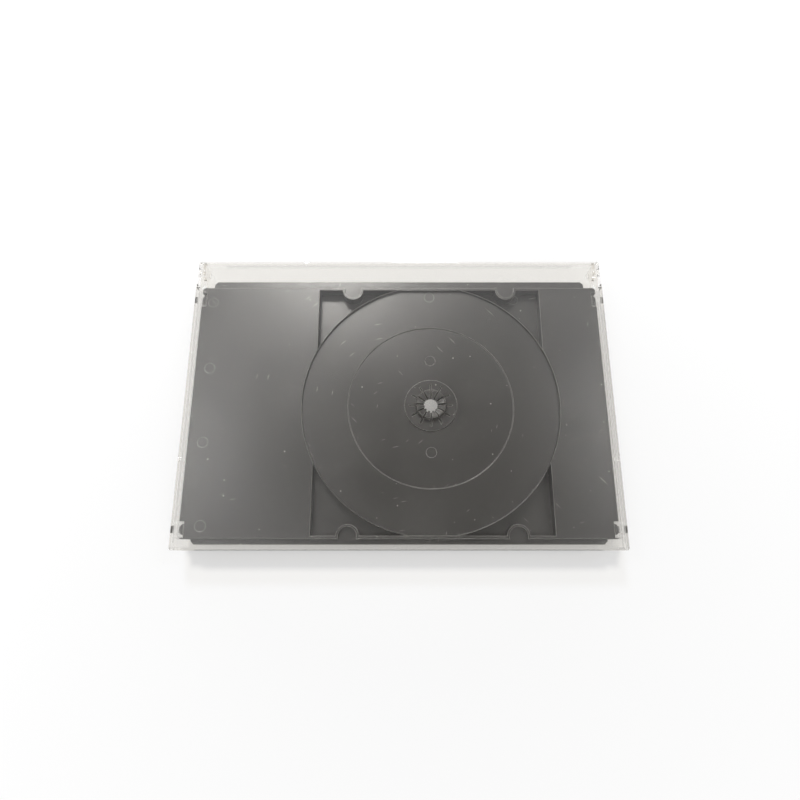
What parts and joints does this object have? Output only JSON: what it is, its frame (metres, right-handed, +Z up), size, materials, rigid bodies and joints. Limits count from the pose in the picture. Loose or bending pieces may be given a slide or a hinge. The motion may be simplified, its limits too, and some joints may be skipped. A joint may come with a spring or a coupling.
{
  "type": "video game case",
  "caption": "Tall clear hinged case for a game disc and booklet, with a black snap-in tray and hub, lying closed on its back.",
  "frame": {"origin": "centre of the closed case's footprint, on the surface that it lies on", "axes": "+X along the long sides, +Y towards the hinged long side, +Z up out of the lid"},
  "size_m": [0.205, 0.1424, 0.02],
  "materials": {
    "clear_lid": "clear injection-moulded polystyrene, glossy, lightly scuffed",
    "clear_base": "clear injection-moulded polystyrene, glossy",
    "black_tray": "black moulded polystyrene, semi-gloss, fine scratches and dust"
  },
  "bodies": {
    "case_base": {"base": "clear_base", "disc_tray": "black_tray"},
    "case_lid": {"lid": "clear_lid"}
  },
  "joints": [
    {"name": "lid_hinge", "type": "hinge", "parent": "case_base", "child": "case_lid", "pos_m": [0, 0.06795, 0.01], "axis": [-1, 0, 0], "range_deg": [0, 130]}
  ]
}
